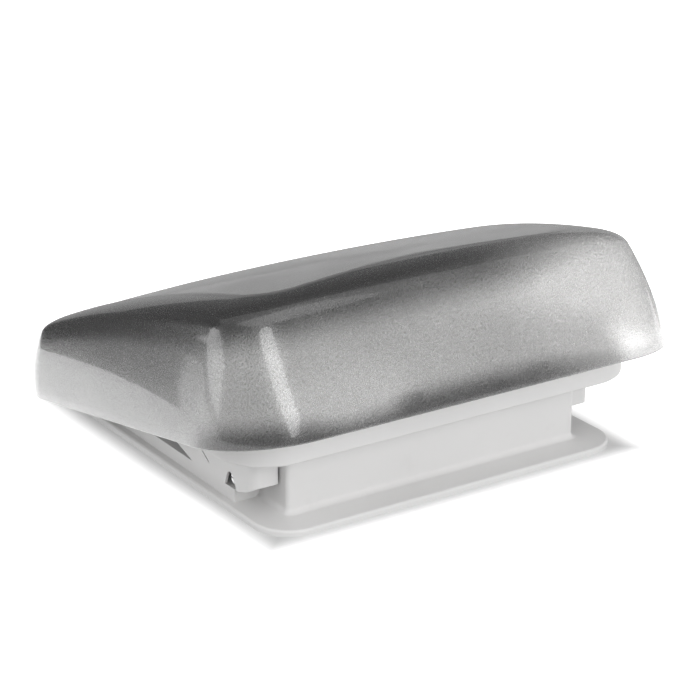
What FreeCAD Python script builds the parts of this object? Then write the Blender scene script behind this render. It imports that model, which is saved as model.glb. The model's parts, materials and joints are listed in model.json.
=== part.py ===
import FreeCAD, Part
import math
import os
from FreeCAD import Vector as V

# Roof vent cover for a caravan: a white base frame that stands round a square roof cut-out, a smoked dome
# on a white lid frame, two hinge arms low down beside the curb, and a worm-driven lift arm inside.
# Millimetres. Origin: centre of the base flange's underside, on the roof. X runs along the hinge line,
# Y from the hinge end to the low nose, Z up.

CUTOUT = 280.0                      # square roof cut-out, and the outside of the curb
FLANGE = 340.0                      # square roof flange
FLANGE_T = 5.0
FLANGE_R = 32.0
CURB_T = 3.0
CURB_R = 4.0
CURB_TOP = 66.0
CURB_FILLET = 5.0
RIM_ROUND = 2.2                     # round on the flange's upper edge
GASKET = (163.0, 14.0, 2.5)         # half-width, width and thickness of the roof gasket
BOSS = 125.0                        # clamp bosses at the curb's corners
BOSS_R = 6.0
BOSS_TOP = 20.0
CLAMP_HOLE_R = 2.0
PILOT_R = 1.5                       # screw holes: pilot and clearance
CLEARANCE_R = 1.75
HALF = CUTOUT / 2
CLEAR = 0.3                         # gap between faces of different bodies

# Hinge line
PIVOT_Y = -99.5
PIVOT_Z = 26.5
PIN_R = 3.0
PIN_FIT = 0.05                      # radial running clearance on every shaft
BUSH_R = 4.5
EAR_X = (148.5, 154.5)              # the base's pivot ears, on both sides
ARM_X = (142.0, 165.0)              # the hinge arms, on both sides
ARM_SKIN = (2.5, 2.0)               # inner wall and outer wall of a hinge arm
RIB_X = (155.2, 158.2)
WASHER_T = 1.0
HEAD_R = 4.2                        # the hinge pin's head
LEDGE_X = 162.7
LEDGE_Y = (-97.5, 97.5)
LEDGE_TOP = 16.0

# Lid frame
BAND_W = 192.5                      # half-width of the white band
BAND_Y = (-165.5, 168.0)
BAND_R = 46.0
BAND_Z = (59.0, 79.5)
BAND_T = 3.0
SEAL_OUT = 1.6                      # how far the curb seal stands out of the curb
THROAT_W = 142.2                    # inside of the lid frame's inner wall
THROAT_Y = (-143.2, 148.0)
THROAT_R = 6.5
THROAT_T = 3.0
THROAT_TOP = 76.0
BAND_ROUND = 1.2                    # round on the band's outer edges
SKIRT_TOP = 88.0                    # the raised side walls, which fall towards the nose
SKIRT_SLOPE = -0.171
SHELF_START = -108.0                # where the side shelves and the raised side walls begin
SHELF_UP = 4.0                      # shelf's underside above the dome's lower edge
SHELF_T = 2.5
SHELF_LEAN = 2.5                    # the dome's side walls lean in by this much up to the shelf
DECK_T = 2.5
DECK_BEND = 35.0                    # the deck is level up to here, and then falls to the nose
TAB_X = (50.0, 70.0)
TAB_SETBACK = 8.5                  # the front tabs end this far behind the dome's lower edge
LUG = 12.0
BRACKET_X = 20.0
BRACKET_Y = (110.0, 157.0)
BRACKET_SCREW_X = 12.0

# Dome: bottom edge and the sharp shoulder that its walls would meet the top in
DOME_T = 2.5
DOME_LOW = dict(wn=219.5, wf=211.0, y0=-203.9, y1=206.5, rn=68.0, rf=66.0)
DOME_HIGH = dict(wn=188.5, wf=203.8, y0=-153.8, y1=175.4, rn=37.7, rf=43.1)
EDGE_Z = 94.5                       # height of the dome's lower edge at the hinge end
EDGE_SLOPE = -0.211
HIGH_Z = (187.0, 77.0)              # height of the shoulder at the hinge end and at the nose
ROUND_DOWN = 0.138                  # where the shoulder's round starts, as a part of the wall
ROUND_IN = (58.5, 29.7)             # how far the round reaches in, at the hinge end and at the nose
ROUND_SIDE = (46.2, 20.7)           # the same on the side walls
BULGE = 5.0
CROWN = (8.1, 4.9)                  # the top above the shoulder's chord, where the round ends
CROWN_RINGS = ((0.6, 7.6), (0.25, 10.6))    # two rings inside that end, by size and height over its middle

# Worm drive
WORM_X = 11.0
ARM_Y = -70.0
ARM_Z = 40.0
ARM_LEN = 190.0
ARM_REST = 6.0                      # degrees above level when closed
TEETH = 24
MODULE = 1.5
PITCH = math.pi * MODULE
WHEEL_R = TEETH * MODULE / 2
WORM_R = 5.5
WORM_Y = ARM_Y - WHEEL_R - WORM_R
SHAFT_R = 4.0
SPINDLE_R = 3.0
LIFT_PIN_R = 2.5
HOUSE_X = (-21.0, 25.0)
HOUSE_Y = (-106.0, -58.0)
HOUSE_Z = (14.0, 60.0)
HOUSE_T = 3.0
HOUSE_SCREWS = [(-12.0, 24.0), (16.0, 24.0), (-12.0, 50.0), (16.0, 50.0)]
BACK_Y = -131.0                     # seat of the drive housing's back plate
TOP_Y = -76.0                       # where the housing's top cover ends, clear of the rising arm
COVER_POSTS = [(-15.0, -123.0), (19.0, -123.0)]
KNOB_R = 21.0
KNOB_Z = (1.2, 11.2)
FLUTES = 10
FLUTE_R = 4.2

# Fly screen
SCREEN_X = 135.0
SCREEN_Y = (-54.0, 134.0)
SCREEN_Z = (BOSS_TOP + 0.2, BOSS_TOP + 4.2)
CLIP_Y = (-20.0, 95.0)
CLIP_T = 1.2
CLIP_W = 12.0
CLIP_HOLE_Z = 31.0

REACH = 250.0                       # half-width of blocks that cut across the whole part


def box(x0, x1, y0, y1, z0, z1):
    return Part.makeBox(x1 - x0, y1 - y0, z1 - z0, V(x0, y0, z0))


def rod(radius, start, axis, length):
    return Part.makeCylinder(radius, length, V(*start), V(*axis))


def sleeve(outer, inner, start, axis, length):
    return rod(outer, start, axis, length).cut(rod(inner, start, axis, length))


def union(shapes):
    whole = shapes[0].multiFuse(shapes[1:])
    return whole.removeSplitter()


def both_sides(shape):
    """The shape and its mirror image in the plane x = 0."""
    return [shape, shape.mirror(V(0, 0, 0), V(1, 0, 0))]


def save(name, shape):
    shape.exportStep("parts/" + name + ".step")
    print(name, shape.ShapeType, "solids", len(shape.Solids), "valid", shape.isValid(),
          "volume", round(shape.Volume, 1))


def group(shapes):
    return Part.makeCompound(shapes)


def outline(wn, wf, y0, y1, rn, rf, height):
    """Closed rounded outline, half-width wn at y0 and wf at y1, lifted to height(y)."""
    def at(x, y):
        return V(x, y, height(y))

    corners = [(-wn + rn, y0 + rn, rn, 180), (wn - rn, y0 + rn, rn, 270),
               (wf - rf, y1 - rf, rf, 0), (-wf + rf, y1 - rf, rf, 90)]
    edges = []
    ends = []
    for cx, cy, r, start in corners:
        turn = [math.radians(start + step) for step in (0, 45, 90)]
        ends.append([at(cx + r * math.cos(a), cy + r * math.sin(a)) for a in turn])
    for number, (first, middle, last) in enumerate(ends):
        edges.append(Part.Arc(first, middle, last).toShape())
        edges.append(Part.makeLine(last, ends[(number + 1) % 4][0]))
    return Part.Wire(edges)


def prism(half_x, y0, y1, radius, z0, z1):
    """Upright block with a rounded-rectangle plan."""
    wire = outline(half_x, half_x, y0, y1, radius, radius, lambda y: z0)
    return Part.Face(wire).extrude(V(0, 0, z1 - z0))


def ring(half_x, y0, y1, radius, wall, z0, z1):
    """Rounded-rectangle wall; a corner too tight to run parallel keeps a small round inside."""
    outer = prism(half_x, y0, y1, radius, z0, z1)
    return outer.cut(prism(half_x - wall, y0 + wall, y1 - wall, max(radius - wall, 0.5), z0, z1))


def side_block(points, x0, x1):
    """Block between x0 and x1 whose side view is the polygon of (y, z) points."""
    wire = Part.makePolygon([V(x0, y, z) for y, z in points + points[:1]])
    return Part.Face(wire).extrude(V(x1 - x0, 0, 0))


def plan_block(points, z0, z1):
    wire = Part.makePolygon([V(x, y, z0) for x, y in points + points[:1]])
    return Part.Face(wire).extrude(V(0, 0, z1 - z0))


def screw(x, y, z, axis, length, shank=1.75, head=3.6, head_t=2.0):
    """Pan-head screw: z is under the head, axis the way the shank points, with a cross slot."""
    turn = V(*axis)
    top = V(x, y, z) - turn * head_t
    body = Part.makeCylinder(head, head_t, top, turn).fuse(Part.makeCylinder(shank, length, V(x, y, z), turn))
    slot = Part.makeBox(head * 1.1, 0.9, 1.0, V(-head * 0.55, -0.45, 0))
    cross = slot.fuse(slot.rotated(V(0, 0, 0), V(0, 0, 1), 90))
    spin = FreeCAD.Rotation(V(0, 0, 1), turn)
    cross.Placement = FreeCAD.Placement(top, spin)
    return body.cut(cross)


# Base: everything that stays on the roof

def boss_places():
    return [(sx * BOSS, sy * BOSS) for sx in (-1, 1) for sy in (-1, 1)]


def clamp_boss(x, y):
    """Boss on two ribs that tie it to the curb's corner, with a blind screw hole from below."""
    sx = math.copysign(1, x)
    sy = math.copysign(1, y)
    wall = HALF - 1.0
    ribs = [box(*sorted((x, sx * wall)), y - 1.5, y + 1.5, 0, BOSS_TOP),
            box(x - 1.5, x + 1.5, *sorted((y, sy * wall)), 0, BOSS_TOP)]
    return [rod(BOSS_R, (x, y, 0), (0, 0, 1), BOSS_TOP)] + ribs


def pivot_ear():
    return side_block([(LEDGE_Y[0], LEDGE_TOP - 2), (PIVOT_Y + 22.0, LEDGE_TOP - 2), (PIVOT_Y + 7.0, 33.5),
                       (PIVOT_Y - 3.0, 33.5), (PIVOT_Y - 6.8, PIVOT_Z + 3), (PIVOT_Y - 6.8, PIVOT_Z - 3),
                       (PIVOT_Y - 3.0, 19.4), (LEDGE_Y[0], 18.0)], *EAR_X)


def flange_and_curb():
    flange = prism(FLANGE / 2, -FLANGE / 2, FLANGE / 2, FLANGE_R, 0, FLANGE_T)
    rim = [e for e in flange.Edges if e.BoundBox.ZMin > FLANGE_T - 0.01]
    flange = flange.makeFillet(RIM_ROUND, rim)
    body = flange.fuse(prism(HALF, -HALF, HALF, CURB_R, 0, CURB_TOP))
    root = [e for e in body.Edges if abs(e.BoundBox.ZMin - FLANGE_T) < 0.01
            and abs(e.BoundBox.ZMax - FLANGE_T) < 0.01 and e.BoundBox.XMax <= HALF + 0.1
            and e.BoundBox.XMin >= -HALF - 0.1]
    return body.makeFillet(CURB_FILLET, root)


def base_frame():
    rail = box(HALF - 1.0, LEDGE_X, LEDGE_Y[0], LEDGE_Y[1], FLANGE_T - 1.0, LEDGE_TOP)
    body = union([flange_and_curb()] + both_sides(rail) + both_sides(pivot_ear()))
    inside = HALF - CURB_T
    body = body.cut(prism(inside, -inside, inside, CURB_R - CURB_T, -1, CURB_TOP + 1))
    added = []
    for x, y in boss_places():
        added += clamp_boss(x, y)
    for x, z in HOUSE_SCREWS:
        added.append(rod(4.5, (x, -HALF + 1, z), (0, 1, 0), BACK_Y + HALF - 1))
    body = union([body] + added)
    holes = [rod(CLAMP_HOLE_R, (x, y, -1), (0, 0, 1), BOSS_TOP - 2) for x, y in boss_places()]
    holes += [rod(PILOT_R, (x, BACK_Y, z), (0, -1, 0), 7.5) for x, z in HOUSE_SCREWS]
    for y in CLIP_Y:
        holes += both_sides(rod(1.2, (inside, y + CLIP_W / 2, CLIP_HOLE_Z), (1, 0, 0), 2.2))
    holes += both_sides(rod(BUSH_R, (EAR_X[0] - 1, PIVOT_Y, PIVOT_Z), (1, 0, 0), 8))
    holes.append(gasket_ring())
    return body.cut(holes[0].multiFuse(holes[1:]))


def gasket_ring():
    half, width, thick = GASKET
    return ring(half, -half, half, 25.0, width, 0, thick)


def curb_seal():
    """Rubber edging pushed over the curb's top, with a bead on top."""
    out = HALF + SEAL_OUT
    grip = ring(out, -out, out, CURB_R + SEAL_OUT, SEAL_OUT + CURB_T + 1.5, 60.5, 67.5)
    bead = ring(out - 1, -out + 1, out - 1, CURB_R + SEAL_OUT - 1, SEAL_OUT + CURB_T - 0.5, 67.5, 69.5)
    wall = ring(HALF, -HALF, HALF, CURB_R, CURB_T, 60, CURB_TOP)
    return grip.fuse(bead).cut(wall).removeSplitter()


def pivot_bushes():
    length = EAR_X[1] - EAR_X[0] + 0.6
    bush = sleeve(BUSH_R, PIN_R + PIN_FIT, (EAR_X[0] - 0.4, PIVOT_Y, PIVOT_Z), (1, 0, 0), length)
    return group(both_sides(bush))


def screen_frame():
    z0, z1 = SCREEN_Z
    frame = ring(SCREEN_X, *SCREEN_Y, 8.0, 6.0, z0, z1)
    return frame.cut(screen_sheet(3.0, 5.0, z0 + 1.6, z0 + 2.4))


def screen_sheet(inset, radius, z0, z1):
    return prism(SCREEN_X - inset, SCREEN_Y[0] + inset, SCREEN_Y[1] - inset, radius, z0, z1)


def screen_mesh():
    return screen_sheet(3.0, 5.0, SCREEN_Z[0] + 1.6, SCREEN_Z[0] + 2.4)


def screen_clips():
    """Four angle clips that hold the screen frame's sides down on the curb's side walls."""
    wall = HALF - CURB_T
    clips = []
    for y in CLIP_Y:
        foot = box(SCREEN_X - 5.0, wall, y, y + CLIP_W, SCREEN_Z[1], SCREEN_Z[1] + CLIP_T)
        leg = box(wall - CLIP_T, wall, y, y + CLIP_W, SCREEN_Z[1], CLIP_HOLE_Z + 5.0)
        hole = rod(1.2, (wall - 3, y + CLIP_W / 2, CLIP_HOLE_Z), (1, 0, 0), 4)
        clips += both_sides(foot.fuse(leg).removeSplitter().cut(hole))
    return group(clips)


def clip_screws():
    seat = HALF - CURB_T - CLIP_T
    screws = []
    for y in CLIP_Y:
        screws += both_sides(screw(seat, y + CLIP_W / 2, CLIP_HOLE_Z, (1, 0, 0), 3.2, 1.2, 2.6, 1.4))
    return group(screws)


# Worm drive in the throat: housing and covers stay, the lift arm and the knob turn

def drive_housing():
    x0, x1 = HOUSE_X
    z0, z1 = HOUSE_Z
    parts = [box(x0, x1, BACK_Y, BACK_Y + HOUSE_T, z0, z1),
             box(x0, x0 + HOUSE_T, BACK_Y, HOUSE_Y[1], z0, z1),
             box(x1 - HOUSE_T, x1, BACK_Y, HOUSE_Y[1], z0, z1),
             box(x0, x1, BACK_Y, HOUSE_Y[1], z0, z0 + HOUSE_T)]
    body = union(parts)
    body = body.cut(rod(SHAFT_R + PIN_FIT, (x0 - 1, ARM_Y, ARM_Z), (1, 0, 0), x1 - x0 + 2))
    body = body.cut(rod(SPINDLE_R + PIN_FIT, (WORM_X, WORM_Y, z0 - 1), (0, 0, 1), 6))
    for x, z in HOUSE_SCREWS:
        body = body.cut(rod(CLEARANCE_R, (x, BACK_Y - 1, z), (0, 1, 0), 6))
    for x, y in COVER_POSTS:
        body = body.cut(rod(PILOT_R, (x, y, z0 - 1), (0, 0, 1), 5))
    return body


def drive_cover():
    """Top cover with the spindle's upper bearing and a short apron at its front edge."""
    x0, x1 = HOUSE_X
    z1 = HOUSE_Z[1]
    lid = box(x0, x1, BACK_Y, TOP_Y, z1, z1 + HOUSE_T)
    lips = [box(x0 + HOUSE_T, x0 + HOUSE_T + 2, BACK_Y + HOUSE_T, TOP_Y, z1 - 4, z1),
            box(x1 - HOUSE_T - 2, x1 - HOUSE_T, BACK_Y + HOUSE_T, TOP_Y, z1 - 4, z1)]
    body = union([lid] + lips)
    body = body.cut(rod(SPINDLE_R + PIN_FIT, (WORM_X, WORM_Y, z1 - 1), (0, 0, 1), 6))
    return body


def housing_screws():
    seat = BACK_Y + HOUSE_T
    return group([screw(x, seat, z, (0, -1, 0), 10.0, 1.5) for x, z in HOUSE_SCREWS])


def throat_cover():
    """Panel round the knob that closes the throat's hinge end, with a riser up to the screen."""
    inside = HALF - CURB_T - 0.5
    y1 = SCREEN_Y[0] - 1.0
    plate = prism(inside, -inside, y1, 6.0, 1.0, 3.0)
    riser = box(-inside, inside, y1 - 2.0, y1, 1.0, SCREEN_Z[1])
    posts = [rod(4.0, (x, y, 2), (0, 0, 1), HOUSE_Z[0] - 2) for x, y in COVER_POSTS]
    body = union([plate, riser] + posts)
    body = body.cut(rod(KNOB_R + 2.0, (WORM_X, WORM_Y, 0), (0, 0, 1), 6))
    for x, y in boss_places():
        if y < 0:
            body = body.cut(box(*sorted((x * 0.94, x * 1.2)), -inside - 1, -117.5, 0, 5))
    for x, y in COVER_POSTS:
        body = body.cut(rod(PILOT_R, (x, y, 0), (0, 0, 1), HOUSE_Z[0] + 1))
        body = body.cut(rod(3.2, (x, y, 0), (0, 0, 1), 3.0))
    return body


def cover_screws():
    return group([screw(x, y, 3.0, (0, 0, 1), 13.0, 1.5, 3.0, 1.6) for x, y in COVER_POSTS])


def arm_point(along, up, x=0.0):
    """Point on the lift arm at rest: along it from its shaft, and square to it."""
    turn = math.radians(ARM_REST)
    return V(x, ARM_Y + along * math.cos(turn) - up * math.sin(turn),
             ARM_Z + along * math.sin(turn) + up * math.cos(turn))


def lift_arm():
    """Flat arm with a hub on the cross shaft and a hole for the lift pin."""
    corners = [(-9, -9), (22, -9), (ARM_LEN, -5.5), (ARM_LEN, 5.5), (22, 9), (-9, 9)]
    wire = Part.makePolygon([arm_point(a, b, -2.5) for a, b in corners + corners[:1]])
    bar = Part.Face(wire).extrude(V(5, 0, 0))
    bar = bar.common(rod(ARM_LEN + 5.5, (-4, ARM_Y, ARM_Z), (1, 0, 0), 8))
    tip = arm_point(ARM_LEN, 0, -2.5)
    bar = bar.fuse(Part.makeCylinder(5.5, 5, tip, V(1, 0, 0)))
    hub = rod(7.5, (-8, ARM_Y, ARM_Z), (1, 0, 0), 15.5)
    window = Part.makePolygon([arm_point(a, b, -4) for a, b in
                               [(45, -4.5), (150, -2.8), (150, 2.8), (45, 4.5), (45, -4.5)]])
    body = union([bar, hub]).cut(Part.Face(window).extrude(V(8, 0, 0)))
    body = body.cut(rod(SHAFT_R, (-10, ARM_Y, ARM_Z), (1, 0, 0), 20))
    return body.cut(Part.makeCylinder(LIFT_PIN_R, 8, arm_point(ARM_LEN, 0, -4), V(1, 0, 0)))


def lift_pin():
    pin = Part.makeCylinder(LIFT_PIN_R, 16, arm_point(ARM_LEN, 0, -8), V(1, 0, 0))
    heads = [Part.makeCylinder(4.0, 1.5, arm_point(ARM_LEN, 0, x), V(1, 0, 0)) for x in (-9.5, 8.0)]
    return union([pin] + heads)


def arm_shaft():
    start = HOUSE_X[0] - 3.0
    shaft = rod(SHAFT_R, (start, ARM_Y, ARM_Z), (1, 0, 0), HOUSE_X[1] - HOUSE_X[0] + 6.0)
    for x in (HOUSE_X[0] - 1.6, HOUSE_X[1] + 0.6):
        shaft = shaft.cut(sleeve(SHAFT_R + 1, SHAFT_R - 0.8, (x, ARM_Y, ARM_Z), (1, 0, 0), 1.0))
    return shaft


def shaft_clips():
    """A retaining ring in the groove at each end of the cross shaft."""
    clips = []
    for x in (HOUSE_X[0] - 1.6, HOUSE_X[1] + 0.6):
        clip = sleeve(SHAFT_R + 2.6, SHAFT_R - 0.8, (x, ARM_Y, ARM_Z), (1, 0, 0), 1.0)
        mouth = box(x - 1, x + 2, ARM_Y - 2.2, ARM_Y + 2.2, ARM_Z + 2, ARM_Z + 9)
        clips.append(clip.cut(mouth))
    return group(clips)


def worm_wheel():
    """Straight-cut wheel whose teeth lean by the worm's lead angle."""
    root = WHEEL_R - 1.25 * MODULE
    blank = rod(root, (WORM_X - 3, ARM_Y, ARM_Z), (1, 0, 0), 6)
    hub = rod(7.5, (7.6, ARM_Y, ARM_Z), (1, 0, 0), 12.0)
    lead = math.degrees(math.atan(PITCH / (2 * math.pi * WORM_R)))
    teeth = []
    for number in range(TEETH):
        face = Part.makePolygon([V(-3, -1.15, root - 0.6), V(-3, 1.15, root - 0.6),
                                 V(-3, 0.5, WHEEL_R + 1.1), V(-3, -0.5, WHEEL_R + 1.1),
                                 V(-3, -1.15, root - 0.6)])
        tooth = Part.Face(face).extrude(V(6, 0, 0))
        tooth.rotate(V(0, 0, 0), V(0, 0, 1), -lead)
        tooth.rotate(V(0, 0, 0), V(1, 0, 0), (number + 0.25) * 360.0 / TEETH + 90)
        tooth.translate(V(WORM_X, ARM_Y, ARM_Z))
        teeth.append(tooth)
    body = union([blank, hub] + teeth)
    return body.cut(rod(SHAFT_R, (0, ARM_Y, ARM_Z), (1, 0, 0), 30))


def worm():
    """Spindle with one right-hand thread of the wheel's pitch."""
    z0 = HOUSE_Z[0] + HOUSE_T + 0.5
    z1 = HOUSE_Z[1] - 0.5
    core = rod(WORM_R - 1.25 * MODULE, (WORM_X, WORM_Y, 24), (0, 0, 1), 32)
    spindle = rod(SPINDLE_R, (WORM_X, WORM_Y, 4), (0, 0, 1), HOUSE_Z[1] + 2.5 - 4)
    collars = [rod(5.0, (WORM_X, WORM_Y, z), (0, 0, 1), 2.0) for z in (z0, z1 - 2.0)]
    turns = 6
    length = turns * PITCH
    low = ARM_Z - length / 2
    inner = WORM_R - 1.25 * MODULE - 0.4
    outer = WORM_R + 1.1
    path = Part.makeHelix(PITCH, length, WORM_R)
    tooth = Part.makePolygon([V(inner, 0, -1.25), V(outer, 0, -0.5), V(outer, 0, 0.5), V(inner, 0, 1.25),
                              V(inner, 0, -1.25)])
    thread = Part.Wire(path.Edges).makePipeShell([tooth], True, True)
    thread.translate(V(WORM_X, WORM_Y, low))
    return union([core, spindle, thread] + collars)


def crank_knob():
    """Fluted hand knob with a hub that takes the spindle's end."""
    body = rod(KNOB_R, (WORM_X, WORM_Y, KNOB_Z[0]), (0, 0, 1), KNOB_Z[1] - KNOB_Z[0])
    rims = [e for e in body.Edges if e.Length > 6 * KNOB_R]
    body = body.makeFillet(1.6, rims)
    flutes = []
    for number in range(FLUTES):
        turn = math.radians(number * 360.0 / FLUTES)
        centre = V(math.cos(turn), math.sin(turn), 0) * (KNOB_R + 2.2) + V(WORM_X, WORM_Y, 0)
        flutes.append(rod(FLUTE_R, centre, (0, 0, 1), 14))
    body = body.cut(flutes[0].multiFuse(flutes[1:]))
    body = body.cut(sleeve(15.5, 8.0, (WORM_X, WORM_Y, 0), (0, 0, 1), 3.2))
    body = body.cut(rod(SPINDLE_R, (WORM_X, WORM_Y, 4.0), (0, 0, 1), 12))
    body = body.cut(rod(4.2, (WORM_X, WORM_Y, 0), (0, 0, 1), 2.6))
    return body.cut(rod(PILOT_R, (WORM_X, WORM_Y, 0), (0, 0, 1), 6))


def knob_screw():
    return screw(WORM_X, WORM_Y, 2.6, (0, 0, 1), 1.4, 1.5, 3.6, 1.2)


# Lid: frame, hinge arms and dome

def edge_z(y):
    """Height of the dome's lower edge at y."""
    return EDGE_Z + EDGE_SLOPE * (y - DOME_LOW["y0"])


def skirt_top(y):
    """Height of the lid frame's side walls at y, which fall towards the nose."""
    return SKIRT_TOP + SKIRT_SLOPE * (y - SHELF_START)


def deck_low(y):
    return BAND_Z[0] + SKIRT_SLOPE * max(0.0, y - DECK_BEND)


def band_prism(inset, z0, z1):
    return prism(BAND_W - inset, BAND_Y[0] + inset, BAND_Y[1] - inset, BAND_R - inset, z0, z1)


def throat_prism(grow, z0, z1):
    return prism(THROAT_W + grow, THROAT_Y[0] - grow, THROAT_Y[1] + grow, THROAT_R + grow, z0, z1)


def band():
    """Outer wall: a level band with rounded edges at the hinge end, then the taller side walls and nose."""
    level = band_prism(0, *BAND_Z)
    level = level.makeFillet(BAND_ROUND, [e for e in level.Edges if e.BoundBox.ZLength < 0.01])
    bend = DOME_LOW["y0"] + (BAND_Z[0] - EDGE_Z - 3.0) / EDGE_SLOPE
    tall = side_block([(SHELF_START - 7.0, BAND_Z[0] + BAND_ROUND), (bend, BAND_Z[0] + BAND_ROUND),
                       (bend + 0.1, BAND_Z[0]), (220, edge_z(220) + 3.0), (220, skirt_top(220)),
                       (SHELF_START, SKIRT_TOP), (SHELF_START - 7.0, BAND_Z[1] - BAND_ROUND)], -REACH, REACH)
    low_end = box(-REACH, REACH, -REACH, bend, 0, 100)
    whole = level.common(low_end).fuse(band_prism(0, 0, 100).common(tall))
    return whole.cut(band_prism(BAND_T, 0, 100)).removeSplitter()


def deck():
    """Plate between the band and the inner wall."""
    side = side_block([(-220, BAND_Z[0]), (DECK_BEND, BAND_Z[0]), (220, deck_low(220)),
                       (220, deck_low(220) + DECK_T), (DECK_BEND, BAND_Z[0] + DECK_T),
                       (-220, BAND_Z[0] + DECK_T)], -REACH, REACH)
    plate = band_prism(1.0, 0, 100).common(side)
    return plate.cut(throat_prism(1.0, -1, 101))


def inner_wall():
    wall = throat_prism(THROAT_T, 0, THROAT_TOP).cut(throat_prism(0, -1, THROAT_TOP + 1))
    side = side_block([(-220, BAND_Z[0]), (DECK_BEND, BAND_Z[0]), (220, deck_low(220)), (220, 100),
                       (-220, 100)], -REACH, REACH)
    return wall.common(side)


def slope_slab(low, high, x0=-REACH, x1=REACH, y0=-REACH, y1=REACH):
    """Sloping slab between two heights above the dome's lower edge."""
    return side_block([(y0, edge_z(y0) + low), (y1, edge_z(y1) + low),
                       (y1, edge_z(y1) + high), (y0, edge_z(y0) + high)], x0, x1)


def dome_plan(inset):
    """Upright block with the plan of the dome's lower edge, drawn in by inset."""
    d = DOME_LOW
    wire = outline(d["wn"] - inset, d["wf"] - inset, d["y0"] + inset, d["y1"] - inset,
                   d["rn"] - inset, d["rf"] - inset, lambda y: 0)
    return Part.Face(wire).extrude(V(0, 0, 140))


def shelf():
    """Sloping ledge round the sides and the nose that the dome is screwed to, and two tabs in front."""
    inset = DOME_T + CLEAR + SHELF_LEAN
    front = box(-REACH, REACH, -REACH, DOME_LOW["y0"] + TAB_SETBACK, 0, 140)
    reach = dome_plan(inset).cut(band_prism(1.5, -1, 141)).cut(front)
    low = SHELF_UP
    high = SHELF_UP + SHELF_T
    main = reach.common(slope_slab(low, high, y0=SHELF_START))
    tabs = []
    for sx in (-1, 1):
        x0, x1 = sorted((sx * TAB_X[0], sx * TAB_X[1]))
        tabs.append(reach.common(slope_slab(low, high, x0, x1, y1=BAND_Y[0] + 3)))
        tabs.append(box(x0, x1, BAND_Y[0], BAND_Y[0] + BAND_T, BAND_Z[1] - 2, edge_z(BAND_Y[0]) + low + 1))
    return [main] + tabs


def fixing_places():
    """Where the dome's screws stand on the shelf."""
    places = []
    for y in (-85.0, 10.0, 105.0):
        half = dome_half_width(y) - 10.0
        places += [(-half, y), (half, y)]
    places += [(-80.0, DOME_LOW["y1"] - 12.0), (80.0, DOME_LOW["y1"] - 12.0)]
    places += [(-60.0, DOME_LOW["y0"] + 12.0), (60.0, DOME_LOW["y0"] + 12.0)]
    return places


def dome_half_width(y):
    d = DOME_LOW
    t = (y - d["y0"]) / (d["y1"] - d["y0"])
    return d["wn"] + (d["wf"] - d["wn"]) * t


def slope_normal():
    return V(0, -EDGE_SLOPE, 1).normalize()


def slope_rod(radius, x, y, low, length):
    n = slope_normal()
    return Part.makeCylinder(radius, length, V(x, y, edge_z(y)) + n * low, n)


def arm_screw_places():
    return [(sx * 153.0, y) for sx in (-1, 1) for y in (-118.0, -70.0, 0.0)]


def lid_frame():
    body = union([band(), deck(), inner_wall()] + shelf())
    ribs = []
    for x in (-100.0, 0.0, 100.0):
        ribs.append(box(x - 1.2, x + 1.2, BAND_Y[0] + 1, THROAT_Y[0] - 1, BAND_Z[0] + 1, 72.0))
    seat = box(-BRACKET_X, BRACKET_X, THROAT_Y[1] + 1, BRACKET_Y[1], deck_low(BRACKET_Y[1]), THROAT_TOP)
    seat = seat.common(band_prism(1.0, 0, 100))
    hollow = box(-BRACKET_X + 3, BRACKET_X - 3, THROAT_Y[1] + THROAT_T, BRACKET_Y[1] - 3, 20, THROAT_TOP - 3)
    body = union([body, seat.cut(hollow)] + ribs)
    holes = [rod(CLEARANCE_R, (x, y, 50), (0, 0, 1), 20) for x, y in arm_screw_places()]
    holes += [slope_rod(CLEARANCE_R, x, y, 0, 20) for x, y in fixing_places()]
    holes += [rod(PILOT_R, (x, BRACKET_Y[1] - 6, 60), (0, 0, 1), 30) for x in bracket_screw_xs()]
    return body.cut(holes[0].multiFuse(holes[1:]))


def bracket_screw_xs():
    return (-BRACKET_SCREW_X, BRACKET_SCREW_X)


def arm_profile(x0, x1, foot):
    """Hinge arm seen from the side: under the level deck, then along its slope to where they meet."""
    end = PIVOT_Y - 29.5
    rise = 0.3016
    tip = (BAND_Z[0] + -SKIRT_SLOPE * DECK_BEND - foot - rise * 36.0) / (rise - SKIRT_SLOPE) - 3.0
    return side_block([(end, 27.5), (end + 10, 22.0), (end + 22, foot), (-36.0, foot),
                       (tip, foot + rise * (tip + 36.0)), (tip, deck_low(tip)), (DECK_BEND, BAND_Z[0]),
                       (end, BAND_Z[0])], x0, x1)


def notch():
    """Arched opening in the outer wall that shows the hinge pin's head."""
    return side_block([(-107.5, 10), (-101.6, 25.0), (-97.8, 30.2), (-93.6, 31.0), (-90.6, 28.0),
                       (-84.0, 10)], RIB_X[1] + 1.3, ARM_X[1] + 5)


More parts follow.
